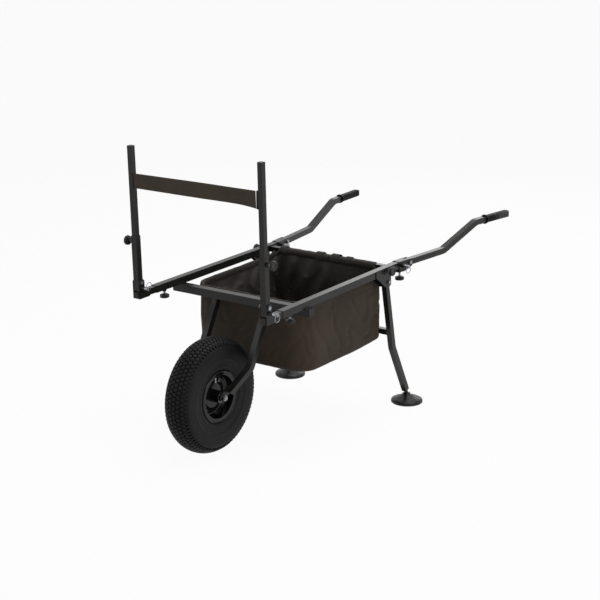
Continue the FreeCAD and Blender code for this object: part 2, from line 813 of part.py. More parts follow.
# ---------------------------------------------------------------- clamp knobs and lock pins
def knob(tip, direction, stud_length):
    """A lobed plastic knob on a threaded stud; the stud's tip is at the given point."""
    inner = tip + direction * stud_length
    head = rod(knob_radius, inner, inner + direction * knob_length)
    across = Vector(0, 1, 0) if abs(direction.x) > 0.5 else Vector(1, 0, 0)
    other = direction.cross(across).normalize()
    for i in range(knob_lobes):
        angle = math.radians(360 * i / knob_lobes)
        centre = inner + (across * math.cos(angle) + other * math.sin(angle)) * (knob_radius + knob_lobe_radius
                                                                              - knob_lobe_depth)
        head = head.cut(rod(knob_lobe_radius, centre - direction, centre + direction * (knob_length + 1)))
    return one(head, rod(stud_radius, tip, inner + direction * 2))


def front_clamp_knob(side):
    tip_z = bar_z - bar_size / 2 - near_gap
    tip = Vector(side * rail_x, front_knob_y, tip_z)
    return knob(tip, Vector(0, 0, -1), tip_z + rail_size + front_knob_reach)


def upright_clamp_knob(side):
    tip_x = post_size / 2 + near_gap
    tip = Vector(side * (rail_x + tip_x), upright_y, upright_knob_z)
    return knob(tip, Vector(side, 0, 0), upright_size / 2 + upright_knob_reach - tip_x)


def leg_clamp_knob(side):
    tip_x = rail_size / 2 - 6
    tip = Vector(side * (rail_x + tip_x), leg_knob_y, leg_knob_z)
    return knob(tip, Vector(side, 0, 0), rail_size / 2 + cheek + leg_knob_reach - tip_x)


def handle_clamp_knob(side):
    """Its screw goes up through the handle and pushes on the plate above, to take up play."""
    origin, along, _ = handle_frame(side)
    tip = origin + along * handle_knob + Vector(0, 0, bar_size / 2)
    return knob(tip, Vector(0, 0, -1), bar_size + handle_knob_reach)


def lock_barrel_shape(middle, across):
    """The barrel on a cheek that guides a lock pin; middle is on the pin's line, between the cheeks."""
    start = middle + across * (cheek_outer - 1)
    return rod(lock_barrel_radius, start, middle + across * (cheek_outer + lock_barrel))


def lock_pin(middle, across, ring_angle):
    """A pull pin in its barrel, with a head and a wire ring through the head."""
    start = middle + across * cheek_inner
    head_start = middle + across * (cheek_outer + lock_barrel + near_gap)
    head_end = head_start + across * lock_head
    pin = one(rod(lock_radius, start, head_end), rod(lock_head_radius, head_start, head_end))
    eye = head_end - across * (lock_head_radius / 2 + 1)
    lean = Vector(0, math.sin(math.radians(ring_angle)), math.cos(math.radians(ring_angle)))
    normal = across.cross(lean).normalize()
    hole = rod(ring_wire * 2, eye - normal * lock_head_radius * 2, eye + normal * lock_head_radius * 2)
    ring_centre = eye + lean * (ring_radius - ring_wire * 0.4)
    ring = Part.makeTorus(ring_radius, ring_wire, ring_centre, across)
    return [pin.cut(hole), ring]


def upright_lock_pin(side):
    return lock_pin(Vector(side * rail_x, upright_y, upright_lock_z), Vector(1, 0, 0), 180 if side > 0 else 10)


def handle_lock_pin(side):
    origin, along, across = handle_frame(side)
    return lock_pin(origin + along * handle_lock, across, 180)


# ---------------------------------------------------------------- bag
def bag_body(inset, low, high):
    """A block with rounded upright edges, inset from the bag's outline."""
    front = bag_front + inset
    rear = bag_rear - inset
    shape = block(-bag_half_width + inset, bag_half_width - inset, front, rear, low, high)
    upright_edges = [e for e in shape.Edges if abs(e.tangentAt(0).z) > 0.9]
    return shape.makeFillet(bag_corner - inset, upright_edges)


def rear_hem():
    """Cloth wrapped around the rear crossbar."""
    z = -rear_bar_drop - rear_bar_size / 2
    inner = rear_bar_size / 2 + near_gap
    outer = inner + hem_cloth
    wrap = block(-hem_half_width, hem_half_width, rear_bar_y - outer, rear_bar_y + outer, z - outer, z + outer)
    return wrap.cut(block(-crossbar_half, crossbar_half, rear_bar_y - inner, rear_bar_y + inner, z - inner, z + inner))


def front_tab(side):
    """A webbing tab from the bag's front edge to the rear face of the front crossbar."""
    x0 = side * tab_x - tab_width / 2
    x1 = x0 + tab_width
    face = crossbar_size + near_gap
    across = block(x0, x1, face, bag_front + 1, bag_top - hem_cloth, bag_top)
    lap = block(x0, x1, face, face + hem_cloth, bag_top - tab_lap, bag_top)
    return across.fuse(lap)


def under_bag():
    """An open bag below the rails, hemmed around the rear crossbar and tabbed to the front one."""
    shell = bag_body(0, bag_bottom, bag_top).cut(bag_body(bag_cloth, bag_bottom + bag_cloth, bag_top + 5))
    return one(shell, rear_hem(), front_tab(-1), front_tab(1))


# ---------------------------------------------------------------- the whole barrow
def build():
    """Every piece on the bench, by node name; a list is a group of separate solids."""
    nodes = {
        "front_crossbar": front_crossbar(),
        "rear_crossbar": rear_crossbar(),
        "tube_caps": tube_caps(),
        "pivot_bolts": pivot_bolts(),
        "axle": axle(),
        "axle_nuts": axle_nuts(),
        "under_bag": under_bag(),
        "tyre": tyre(),
        "inner_tube": inner_tube(),
        "hub": hub(),
        "hub_bearings": hub_bearings(),
        "rim_bolts": rim_bolts(),
        "valve_stem": valve_stem(),
        "front_band": front_band(),
        "leg_brace": leg_brace(),
        "foot_bolts": foot_bolts(),
    }
    makers = {
        "rail": rail, "fork_arm": fork_arm, "leg_bracket": leg_bracket, "handle_bracket": handle_bracket,
        "rim": rim_half, "slide_bar": slide_bar, "bar_cap": bar_cap, "upright_bracket": upright_bracket,
        "upright_bolt": upright_bolt, "upright": upright, "post": post, "post_cap": post_top_cap,
        "handle": handle, "grip": grip, "leg": leg, "foot": foot,
        "front_clamp_knob": front_clamp_knob, "upright_clamp_knob": upright_clamp_knob,
        "leg_clamp_knob": leg_clamp_knob, "handle_clamp_knob": handle_clamp_knob,
        "upright_lock_pin": upright_lock_pin, "handle_lock_pin": handle_lock_pin,
    }
    for name, maker in makers.items():
        for word, side in SIDES.items():
            nodes[word + "_" + name] = maker(side)
    return nodes


def set_down(nodes):
    """Tips the bench model by stance_tilt and puts the floor and the middle of its length at zero."""
    shapes = {}
    for name, made in nodes.items():
        shape = Part.Compound(made) if isinstance(made, list) else made
        shape = shape.copy()
        shape.rotate(Vector(0, 0, 0), Vector(1, 0, 0), stance_tilt)
        shapes[name] = shape
    front = wheel_y * math.cos(tilt) - wheel_z * math.sin(tilt) - wheel_radius
    rear = shapes["right_grip"].BoundBox.YMax
    shift = Vector(0, -(front + rear) / 2, -floor_level)
    for shape in shapes.values():
        shape.translate(shift)
    return shapes, shift


def write_parts(shapes):
    os.makedirs("parts", exist_ok=True)
    for name, shape in shapes.items():
        shape.exportStep(os.path.join("parts", name + ".step"))


def main():
    shapes, shift = set_down(build())
    write_parts(shapes)
    print("nodes", len(shapes), "shift", round(shift.y, 3), round(shift.z, 3))
    return shapes, shift


placed, moved = main()
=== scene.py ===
import json
import math

import bmesh
import bpy
from mathutils import Matrix, Vector, noise


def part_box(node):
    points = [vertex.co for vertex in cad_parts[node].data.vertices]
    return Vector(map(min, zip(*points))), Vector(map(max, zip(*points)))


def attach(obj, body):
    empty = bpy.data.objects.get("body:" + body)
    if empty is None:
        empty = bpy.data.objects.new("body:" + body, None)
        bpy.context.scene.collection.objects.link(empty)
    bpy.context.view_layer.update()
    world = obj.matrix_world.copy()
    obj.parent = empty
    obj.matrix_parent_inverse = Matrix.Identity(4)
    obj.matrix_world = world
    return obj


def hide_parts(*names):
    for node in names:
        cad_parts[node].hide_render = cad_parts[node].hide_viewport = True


# A one-wheel field barrow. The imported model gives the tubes, plates, bolts and pins; here they get
# their finishes, and the tyre, bag, band, grips, knobs, feet, welds and stitching are modelled.
#
# "Bench" is the barrow with its rails level, in metres: X across, Y rearwards from the front
# crossbar's front face, Z up from the rails' tops. BENCH sets the bench on the floor.

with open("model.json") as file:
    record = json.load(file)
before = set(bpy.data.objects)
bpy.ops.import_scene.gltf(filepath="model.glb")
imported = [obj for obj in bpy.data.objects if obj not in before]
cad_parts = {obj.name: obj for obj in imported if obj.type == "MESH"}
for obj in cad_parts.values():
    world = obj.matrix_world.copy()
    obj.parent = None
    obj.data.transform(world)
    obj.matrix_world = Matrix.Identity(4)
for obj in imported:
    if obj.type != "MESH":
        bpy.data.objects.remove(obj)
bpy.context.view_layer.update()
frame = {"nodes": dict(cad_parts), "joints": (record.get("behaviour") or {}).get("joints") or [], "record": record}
joints = {joint["name"]: joint for joint in frame["joints"]}

SIDES = {"left": -1, "right": 1}
RAIL_X = 0.270
STANCE = math.radians(2.0)           # the rails rise this much towards the handles
WHEEL_ON_BENCH = Vector((0, -0.168, -0.329))
WHEEL = Vector(joints["wheel_spin"]["pos_m"])
TIP = Matrix.Rotation(STANCE, 4, "X")
BENCH = Matrix.Translation(WHEEL - TIP @ WHEEL_ON_BENCH) @ TIP
TO_BENCH = BENCH.inverted()


# ---------------------------------------------------------------- camera, lights, floor


def stand_camera():
    data = bpy.data.cameras.new("Camera")
    data.lens = 86.77
    data.sensor_width = 36.0
    camera = bpy.data.objects.new("Camera", data)
    camera.location = (2.9559, -4.1295, 1.7887)
    camera.rotation_euler = (math.radians(74.68), 0, math.radians(36.168))
    bpy.context.scene.collection.objects.link(camera)
    bpy.context.scene.camera = camera


def hang_lamp(name, place, target, width, height, watts):
    data = bpy.data.lights.new(name, "AREA")
    data.shape = "RECTANGLE"
    data.size = width
    data.size_y = height
    data.energy = watts
    lamp = bpy.data.objects.new(name, data)
    lamp.location = place
    lamp.rotation_euler = (Vector(target) - Vector(place)).to_track_quat("-Z", "Y").to_euler()
    bpy.context.scene.collection.objects.link(lamp)


def plug(tree, node, links):
    """Sets a node's inputs, each to a value or to another node's output."""
    for name, value in links.items():
        if isinstance(value, bpy.types.NodeSocket):
            tree.links.new(value, node.inputs[name])
        else:
            node.inputs[name].default_value = value


def add(tree, kind, links=None, **settings):
    """Adds a shader node with its settings, and plugs in its inputs."""
    made = tree.nodes.new("ShaderNode" + kind)
    for name, value in settings.items():
        setattr(made, name, value)
    plug(tree, made, links or {})
    return made


def srgb(code, alpha=1.0):
    """A colour written as an sRGB hex value, turned to linear."""
    parts = [int(code[i:i + 2], 16) / 255 for i in (1, 3, 5)]
    linear = [p / 12.92 if p <= 0.04045 else ((p + 0.055) / 1.055) ** 2.4 for p in parts]
    return (*linear, alpha)


def white_rays(tree):
    """1 for rays that see the room itself: the camera's, and those in gloss and through glass."""
    path = add(tree, "LightPath")
    seen = path.outputs["Is Camera Ray"]
    for ray in ("Is Glossy Ray", "Is Transmission Ray"):
        seen = add(tree, "Math", {0: seen, 1: path.outputs[ray]}, operation="MAXIMUM").outputs[0]
    return seen


def light_the_room():
    """A soft white room. Gloss and glass see white; everything else is lit more gently."""
    world = bpy.data.worlds.new("Studio")
    bpy.context.scene.world = world
    world.use_nodes = True
    tree = world.node_tree
    tree.nodes.clear()
    strength = add(tree, "MapRange", {"Value": white_rays(tree), "To Min": 0.30, "To Max": 1.0})
    back = add(tree, "Background", {"Color": srgb("#ffffff"), "Strength": strength.outputs[0]})
    add(tree, "OutputWorld", {"Surface": back.outputs[0]})
    hang_lamp("Overhead", (0.4, 0.5, 3.6), (0, 0, 0.4), 3.0, 3.0, 78)
    hang_lamp("Right", (4.0, -1.0, 1.9), (0, 0, 0.4), 2.0, 2.0, 44)
    hang_lamp("Front_left", (-2.6, -3.4, 1.7), (0, -0.2, 0.5), 1.8, 1.8, 12)
    hang_lamp("Rear", (-1.4, 4.0, 2.2), (0, 0.2, 0.5), 2.4, 1.6, 24)


def lay_floor():
    """A plain pale floor that keeps the barrow's shadow."""
    bpy.ops.mesh.primitive_plane_add(size=160, location=(0, 0, 0))
    floor = bpy.context.object
    floor.name = "Floor"
    material = bpy.data.materials.new("Pale_floor")
    material.use_nodes = True
    tree = material.node_tree
    tree.nodes.clear()
    matt = add(tree, "BsdfDiffuse", {"Color": srgb("#e4e4e4")})
    glow = add(tree, "Emission", {"Color": srgb("#ffffff"), "Strength": 1.0})
    share = add(tree, "MapRange", {"Value": white_rays(tree), "To Min": 0.0, "To Max": 0.94})
    both = add(tree, "MixShader", {0: share.outputs[0], 1: matt.outputs[0], 2: glow.outputs[0]})
    add(tree, "OutputMaterial", {"Surface": both.outputs[0]})
    floor.data.materials.append(material)


# ---------------------------------------------------------------- finishes


def new_finish(name):
    """An empty finish: its material, its tree, its shader, and the place on the piece."""
    material = bpy.data.materials.new(name)
    material.use_nodes = True
    tree = material.node_tree
    tree.nodes.clear()
    shader = add(tree, "BsdfPrincipled")
    add(tree, "OutputMaterial", {"Surface": shader.outputs[0]})
    return material, tree, shader, add(tree, "TexCoord").outputs["Object"]


def mottle(tree, where, scale, low, high, detail=3.0, spread=(0.35, 0.65)):
    """Two colours mixed by soft noise, with scale patches to a metre. Gives the noise and the colour."""
    cloud = add(tree, "TexNoise", {"Vector": where, "Scale": scale, "Detail": detail, "Roughness": 0.55})
    ramp = add(tree, "ValToRGB", {"Fac": cloud.outputs["Fac"]})
    for stop, position, colour in zip(ramp.color_ramp.elements, spread, (low, high)):
        stop.position = position
        stop.color = srgb(colour)
    return cloud.outputs["Fac"], ramp.outputs[0]


def powder_coat():
    """Powder-coated steel: satin anthracite, with the faint orange peel of baked powder (1.5 mm)."""
    material, tree, shader, where = new_finish("Powder_coat")
    _, shade = mottle(tree, where, 9.0, "#171716", "#1f1f1d")
    peel = add(tree, "TexNoise", {"Vector": where, "Scale": 650.0, "Detail": 2.0})
    bump = add(tree, "Bump", {"Strength": 0.16, "Distance": 0.0003, "Height": peel.outputs["Fac"]})
    plug(tree, shader, {"Base Color": shade, "Normal": bump.outputs[0], "Roughness": 0.31,
                        "Specular IOR Level": 0.24})
    return material


def stove_enamel():
    """Stove-enamelled wheel steel: gloss black, slightly uneven, with its edges rounded over."""
    material, tree, shader, where = new_finish("Stove_enamel")
    _, shade = mottle(tree, where, 30.0, "#0a0a0b", "#111112")
    rounded = add(tree, "Bevel", {"Radius": 0.0012}, samples=6)
    plug(tree, shader, {"Base Color": shade, "Normal": rounded.outputs[0], "Roughness": 0.17,
                        "Specular IOR Level": 0.25})
    return material


def zinc_plate():
    """Bright zinc-plated steel: a grey-white metal with uneven polish."""
    material, tree, shader, where = new_finish("Zinc_plate")
    cloud, shade = mottle(tree, where, 160.0, "#707276", "#9b9ea2")
    rough = add(tree, "MapRange", {"Value": cloud, "To Min": 0.2, "To Max": 0.42})
    rounded = add(tree, "Bevel", {"Radius": 0.0005}, samples=4)
    plug(tree, shader, {"Base Color": shade, "Normal": rounded.outputs[0],
                        "Roughness": rough.outputs[0], "Metallic": 1.0})
    return material


def moulded_nylon():
    """Moulded black nylon: matt, with a spark-eroded grain of about 0.8 mm."""
    material, tree, shader, where = new_finish("Moulded_nylon")
    _, shade = mottle(tree, where, 40.0, "#0e0e0f", "#161617")
    grain = add(tree, "TexVoronoi", {"Vector": where, "Scale": 1250.0})
    bump = add(tree, "Bump", {"Strength": 0.2, "Distance": 0.0002, "Height": grain.outputs["Distance"]})
    plug(tree, shader, {"Base Color": shade, "Normal": bump.outputs[0], "Roughness": 0.36,
                        "Specular IOR Level": 0.25})
    return material


def grip_rubber():
    """Soft moulded grip rubber: near black and dull, with a grain of 0.7 mm."""
    material, tree, shader, where = new_finish("Grip_rubber")
    _, shade = mottle(tree, where, 25.0, "#09090a", "#101011")
    grain = add(tree, "TexNoise", {"Vector": where, "Scale": 1400.0, "Detail": 1.0})
    bump = add(tree, "Bump", {"Strength": 0.25, "Distance": 0.0002, "Height": grain.outputs["Fac"]})
    plug(tree, shader, {"Base Color": shade, "Normal": bump.outputs[0], "Roughness": 0.5,
                        "Specular IOR Level": 0.08})
    return material


def tyre_rubber():
    """Vulcanised tyre rubber: near black, with a patchy dull shine and a grain of 1.1 mm."""
    material, tree, shader, where = new_finish("Tyre_rubber")
    cloud, shade = mottle(tree, where, 16.0, "#0f0f11", "#18181a")
    rough = add(tree, "MapRange", {"Value": cloud, "To Min": 0.42, "To Max": 0.6})
    grain = add(tree, "TexNoise", {"Vector": where, "Scale": 900.0, "Detail": 2.0})
    bump = add(tree, "Bump", {"Strength": 0.15, "Distance": 0.0003, "Height": grain.outputs["Fac"]})
    plug(tree, shader, {"Base Color": shade, "Normal": bump.outputs[0],
                        "Roughness": rough.outputs[0], "Specular IOR Level": 0.12})
    return material


def woven(name, low, high, thread, roughness, sheen, depth=0.0004, patches=6.0):
    """Coarse woven cloth. thread is the spacing of its threads; the UV map is in metres."""
    material, tree, shader, where = new_finish(name)
    _, shade = mottle(tree, where, patches, low, high, detail=5.0, spread=(0.3, 0.7))
    flat = add(tree, "UVMap")
    split = add(tree, "SeparateXYZ", {0: flat.outputs[0]})

    def threads(way):
        """Ridges and hollows across one direction of the cloth."""
        phase = add(tree, "Math", {0: way, 1: 2 * math.pi / thread}, operation="MULTIPLY")
        return add(tree, "Math", {0: phase.outputs[0]}, operation="SINE").outputs[0]

    weave = add(tree, "Math", {0: threads(split.outputs[0]), 1: threads(split.outputs[1])},
                operation="MULTIPLY").outputs[0]
    # the colour is darkened in the weave's hollows and lightened on its ridges: painted shade and painted
    # highlight following the threads' relief
    painted_weave_shade = add(tree, "MapRange", {"Value": weave, "From Min": -1.0, "From Max": 1.0,
                                   "To Min": 0.82, "To Max": 1.08})
    tint = add(tree, "VectorMath", {0: shade, "Scale": painted_weave_shade.outputs[0]}, operation="SCALE")
    slub = add(tree, "TexNoise", {"Vector": where, "Scale": 260.0, "Detail": 3.0})
    relief = add(tree, "Math", {0: weave, 1: slub.outputs["Fac"]}, operation="ADD")
    bump = add(tree, "Bump", {"Strength": 0.5, "Distance": depth, "Height": relief.outputs[0]})
    plug(tree, shader, {"Base Color": tint.outputs[0], "Normal": bump.outputs[0],
                        "Roughness": roughness, "Specular IOR Level": 0.22,
                        "Sheen Weight": sheen, "Sheen Roughness": 0.5})
    return material


def sewing_thread():
    """Bonded polyester thread: brown, a little lighter than the cloth, with a soft shine."""
    material, tree, shader, where = new_finish("Sewing_thread")
    _, shade = mottle(tree, where, 300.0, "#54463a", "#66564a")
    plug(tree, shader, {"Base Color": shade, "Roughness": 0.5})
    return material


def make_finishes():
    return {
        "frame_paint": powder_coat(),
        "rim_paint": stove_enamel(),
        "zinc": zinc_plate(),
        "black_plastic": moulded_nylon(),
        "grip_rubber": grip_rubber(),
        "tyre_rubber": tyre_rubber(),
        # the cloths' threads are drawn 2.2 to 3 mm apart, wider than real ones, so that they show
        "bag_fabric": woven("Waxed_canvas", "#30281f", "#3f342a", 0.0024, 0.78, 0.05),
        "band_fabric": woven("Canvas_band", "#3e362d", "#484035", 0.0022, 0.75, 0.05),
        # the coated inside of the bag is smoother, greyer and a little shiny
        "bag_lining": woven("Coated_lining", "#302d2b", "#45413c", 0.0024, 0.5, 0.03, depth=0.0002),
        # this dark cloth binds the bag's hem; on the band's rolled end it is painted shade in the fold
        "binding_and_fold_shade": woven("Canvas_binding_and_fold_shade", "#1c1815", "#28221d", 0.0026, 0.7, 0.05, depth=0.0005),
        "thread": sewing_thread(),
        "webbing": woven("Polyester_webbing", "#1d1b19", "#2a2724", 0.0030, 0.7, 0.1, depth=0.0006),
    }


def finish_cad_nodes(finishes):
    slots = {part["node"]: part["material_slot"] for part in frame["record"]["subparts"]}
    for name, node in frame["nodes"].items():
        node.data.materials.clear()
        node.data.materials.append(finishes[slots[name]])


# ---------------------------------------------------------------- modelling helpers


def leave_all():
    bpy.ops.object.select_all(action="DESELECT")


def pick(piece):
    """Selects one piece and makes it the active one."""
    leave_all()
    bpy.context.view_layer.objects.active = piece
    piece.select_set(True)


def named(piece, name):
    piece.name = name
    piece.data.name = name
    return piece


def open_edit():
    """Goes into edit mode with all of the active piece selected."""
    bpy.ops.object.mode_set(mode="EDIT")
    bpy.ops.mesh.select_all(action="SELECT")


def end_edit():
    bpy.ops.object.mode_set(mode="OBJECT")


def begin(name, make, **sizes):
    """Starts a piece from a primitive, in edit mode."""
    leave_all()
    make(**sizes)
    piece = named(bpy.context.object, name)
    open_edit()
    return piece


def choose_faces(test):
    """In edit mode, selects just the faces that pass the test."""
    bpy.ops.mesh.select_mode(type="FACE")
    bpy.ops.mesh.select_all(action="DESELECT")
    mesh = bmesh.from_edit_mesh(bpy.context.object.data)
    for face in mesh.faces:
        if test(face):
            face.select_set(True)
    mesh.select_flush(True)
    bmesh.update_edit_mesh(bpy.context.object.data)


def settle(piece, matrix):
    """Sets a finished mesh in place, with its object left at the origin."""
    piece.data.transform(matrix)
    if matrix.determinant() < 0:
        piece.data.flip_normals()


def alter(piece, kind, **settings):
    """Adds a modifier and applies it."""
    pick(piece)
    modifier = piece.modifiers.new(kind.title(), kind)
    for key, value in settings.items():
        setattr(modifier, key, value)
    bpy.ops.object.modifier_apply(modifier=modifier.name)


def soften(piece, width, segments=2, degrees=35):
    alter(piece, "BEVEL", width=width, segments=segments, limit_method="ANGLE",
          angle_limit=math.radians(degrees), harden_normals=False)


def smooth(piece, degrees=40):
    pick(piece)
    bpy.ops.object.shade_smooth_by_angle(angle=math.radians(degrees))


def joined(pieces, name):
    leave_all()
    for piece in pieces:
        piece.select_set(True)
    bpy.context.view_layer.objects.active = pieces[0]
    bpy.ops.object.join()
    return named(bpy.context.object, name)


def copied(piece, name, matrix):
    """A copy with its own mesh, moved by the matrix."""
    twin = piece.copy()
    twin.data = piece.data.copy()
    named(twin, name)
    bpy.context.scene.collection.objects.link(twin)
    settle(twin, matrix)
    return twin


def drawn_out(name, sides, radius, steps, first=0.0):
    """A form drawn out along Z from a filled ring; each step is (rise, radius)."""
    piece = begin(name, bpy.ops.mesh.primitive_circle_add, vertices=sides, radius=radius, fill_type="NGON",
                  location=(0, 0, first))
    size = radius
    for rise, wanted in steps:
        bpy.ops.mesh.extrude_region_move(TRANSFORM_OT_translate={"value": (0, 0, rise)})
        ratio = wanted / size
        bpy.ops.transform.resize(value=(ratio, ratio, 1), center_override=(0, 0, 0))
        size = wanted
    bpy.ops.mesh.select_all(action="SELECT")
    bpy.ops.mesh.normals_make_consistent(inside=False)
    end_edit()
    settle_object(piece)
    return piece


def settle_object(piece):
    """Puts an object's own placing into its mesh."""
    pick(piece)
    bpy.ops.object.transform_apply(location=True, rotation=True, scale=True)


def aim(place, axis):
    """Turns +Z to the axis and moves to the place."""
    return Matrix.Translation(place) @ Vector(axis).to_track_quat("Z", "Y").to_matrix().to_4x4()


def reach_of(node, place, axis):
    """The lowest and highest distance of a CAD node's points along an axis from a place."""
    axis = Vector(axis).normalized()
    along = [(v.co - Vector(place)).dot(axis) for v in frame["nodes"][node].data.vertices]
    return min(along), max(along)


def dress(piece, finish, body, *nodes, slot=None):
    """Gives a piece its finish and its body, and hides the CAD nodes it stands for."""
    piece.data.materials.clear()
    piece.data.materials.append(FINISHES[finish])
    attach(piece, body)
    if nodes:
        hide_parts(*nodes)


# ---------------------------------------------------------------- clamp knobs
KNOB_RADIUS = 0.017
KNOB_DEPTH = 0.014
FLUTES = 9
STUD_LENGTH = 0.010
STUD_IN_HEAD = 0.002                 # how far a stud goes into its knob's head


def fluted_head():
    """The moulded head: a stepped disc with flutes round its rim and a dished cap. Its back is at Z = 0."""
    head = drawn_out("knob_head", 36, 0.0095, [
        (0.0015, 0.0105), (0.0008, KNOB_RADIUS - 0.0012), (0.0012, KNOB_RADIUS), (0.0034, KNOB_RADIUS),
        (0.0006, KNOB_RADIUS - 0.0008), (0.0010, KNOB_RADIUS - 0.0008), (0.0006, KNOB_RADIUS),
        (0.0030, KNOB_RADIUS), (0.0014, KNOB_RADIUS - 0.0016), (0.0004, KNOB_RADIUS - 0.0045),
        (-0.0009, KNOB_RADIUS - 0.0062), (0.0, 0.004)])
    pick(head)
    open_edit()

    def in_flute(face):
        place = face.calc_center_median()
        turn = math.atan2(place.y, place.x) / (2 * math.pi) * FLUTES
        return abs(turn - round(turn)) < 0.26 and math.hypot(place.x, place.y) > KNOB_RADIUS - 0.0012

    choose_faces(in_flute)
    bpy.ops.transform.resize(value=(0.915, 0.915, 1), center_override=(0, 0, 0))
    end_edit()
    soften(head, 0.0005)
    smooth(head, 35)
    return head


def plated_stud():
    """A plain plated stud with a narrowed tip. The tip is at Z = 0."""
    stud = drawn_out("knob_stud", 20, 0.0032, [(0.0006, 0.0038), (0.0094, 0.0038)])
    soften(stud, 0.0003)
    smooth(stud)
    return stud


def fit_knobs():
    """A head and a stud for each of the eight clamps, turned to the clamp's own axis."""
    head = fluted_head()
    stud = plated_stud()
    for side in SIDES:
        for clamp in ("front_clamp", "upright_clamp", "leg_clamp", "handle_clamp"):
            joint = joints[side + "_" + clamp + "_turn"]
            node = side + "_" + clamp + "_knob"
            low, high = reach_of(node, joint["pos_m"], joint["axis"])
            place = aim(joint["pos_m"], joint["axis"])
            top = copied(head, node + "_head", place @ Matrix.Translation((0, 0, high - KNOB_DEPTH)))
            length = high - KNOB_DEPTH - low + STUD_IN_HEAD
            stretch = Matrix.Diagonal((1, 1, length / STUD_LENGTH, 1))
            shank = copied(stud, node + "_stud", place @ Matrix.Translation((0, 0, low)) @ stretch)
            dress(top, "black_plastic", joint["child"], node)
            dress(shank, "zinc", joint["child"])
    for piece in (head, stud):
        bpy.data.objects.remove(piece)


# ---------------------------------------------------------------- welds
TUBE_HALF = 0.0125                   # half of a rail's width
RAIL_UNDERSIDE = -0.0250
FORK_TOP = -0.0532                   # where the fork arms meet the crossbar
FORK_SIDES = (0.097, 0.119)
FORK_MIDDLE = 0.108
WELD_PITCH = 0.0022                  # from one scale of a bead to the next


def weld_scale():
    """One scale of a weld bead: a low oval dome on Z = 0."""
    steps = [(0.0006, 0.0018), (0.0005, 0.0013), (0.0002, 0.0006)]
    scale = drawn_out("weld_scale", 10, 0.0020, steps, first=-0.0004)
    smooth(scale, 60)
    return scale


def weld_runs():
    """For each body, its beads' starts, ends and directions out of the corner, on the bench."""
    runs = {"frame": [], "legs": []}

    def bead(body, start, end, face):
        runs[body].append((Vector(start), Vector(end), Vector(face)))

    for sign in SIDES.values():
        inner = sign * (RAIL_X - TUBE_HALF)
        outer = sign * (RAIL_X + TUBE_HALF)
        for x in (inner, outer):
            bead("frame", (x, 0.002, RAIL_UNDERSIDE), (x, 0.026, RAIL_UNDERSIDE), (sign, 0, 0.8))
        bead("frame", (inner - sign * 0.012, 0.0005, RAIL_UNDERSIDE),
             (inner + sign * 0.025, 0.0005, RAIL_UNDERSIDE), (0, -1, 0.6))
        for x in FORK_SIDES:
            bead("frame", (sign * x, 0.004, FORK_TOP), (sign * x, 0.024, FORK_TOP),
                 (math.copysign(1, x - FORK_MIDDLE) * sign, 0, -0.6))
    low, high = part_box("leg_brace")
    for x in (low.x, high.x):
        for z in (low.z, high.z):
            bead("legs", TO_BENCH @ Vector((x, low.y + 0.002, z)),
                 TO_BENCH @ Vector((x, high.y - 0.002, z)),
                 (-1 if x > 0 else 1, 0, 1 if z == high.z else -1))
    return runs


def lay_welds():
    """Beads where the front crossbar meets the rails and the fork arms, and at the leg brace's ends."""
    scale = weld_scale()
    for body, lines in weld_runs().items():
        scales = []
        for start, end, face in lines:
            count = max(2, round((end - start).length / WELD_PITCH))
            for i in range(count + 1):
                spot = start.lerp(end, i / count)
                scales.append(copied(scale, "weld_scale_copy", BENCH @ aim(spot, face)))
        dress(joined(scales, body + "_welds"), "frame_paint", body)
    bpy.data.objects.remove(scale)


# ---------------------------------------------------------------- wheel
TYRE_RADIUS = 0.200
CROWN_ROUND = 0.0662                 # radius of the tread's curve from side to side
GROOVE_DEPTH = 0.0060
TREAD_ROWS = 80
TREAD_COLUMNS = (-0.0375, -0.0225, -0.0075, 0.0075, 0.0225, 0.0375)
SHOULDER_ROW = 0.0480


def crown_seat(along, depth=0.0):
    """A point on the tread's curve, given by its distance round from the middle, and its tilt."""
    tilt = along / CROWN_ROUND
    reach = CROWN_ROUND - 0.0003 - depth
    return reach * math.sin(tilt), TYRE_RADIUS - CROWN_ROUND + reach * math.cos(tilt), tilt


def casing():
    """The tyre's carcass as a section spun round the axle: crown, ribbed walls, beads, open inside."""
    section = [crown_seat(along, GROOVE_DEPTH)[:2] for along in (0.0, 0.011, 0.022, 0.033, 0.043, 0.050)]
    section += [
        (0.0452, 0.1742), (0.0466, 0.1722), (0.0474, 0.1716), (0.0482, 0.1660), (0.0487, 0.1600),
        (0.0489, 0.1500), (0.0487, 0.1410), (0.0482, 0.1330), (0.0484, 0.1322), (0.0477, 0.1290),
        (0.0473, 0.1283), (0.0466, 0.1220), (0.0455, 0.1130), (0.0450, 0.1060), (0.0452, 0.1052),
        (0.0446, 0.1024), (0.0440, 0.1018), (0.0432, 0.0975), (0.0424, 0.0935), (0.0370, 0.0900),
        (0.0366, 0.0800), (0.0275, 0.0790), (0.0290, 0.0960), (0.0385, 0.1250), (0.0410, 0.1500),
        (0.0360, 0.1660), (0.0250, 0.1790), (0.0, 0.1830)]
    piece = begin("tyre_casing", bpy.ops.mesh.primitive_circle_add, vertices=len(section), radius=0.1)
    mesh = bmesh.from_edit_mesh(piece.data)
    mesh.verts.ensure_lookup_table()
    for vert, (x, radius) in zip(mesh.verts, section):
        vert.co = (x, 0, radius)
    first, last = mesh.verts[0], mesh.verts[len(section) - 1]
    mesh.edges.remove(mesh.edges.get((first, last)))
    bmesh.update_edit_mesh(piece.data)
    bpy.ops.mesh.select_all(action="SELECT")
    bpy.ops.mesh.spin(steps=120, angle=2 * math.pi, center=(0, 0, 0), axis=(1, 0, 0), use_auto_merge=True)
    bpy.ops.mesh.select_all(action="SELECT")
    bpy.ops.mesh.remove_doubles(threshold=0.00002)
    end_edit()
    alter(piece, "MIRROR", use_axis=(True, False, False), merge_threshold=0.00003)
    pick(piece)
    open_edit()
    bpy.ops.mesh.normals_make_consistent(inside=False)
    end_edit()
    smooth(piece, 50)
    return piece


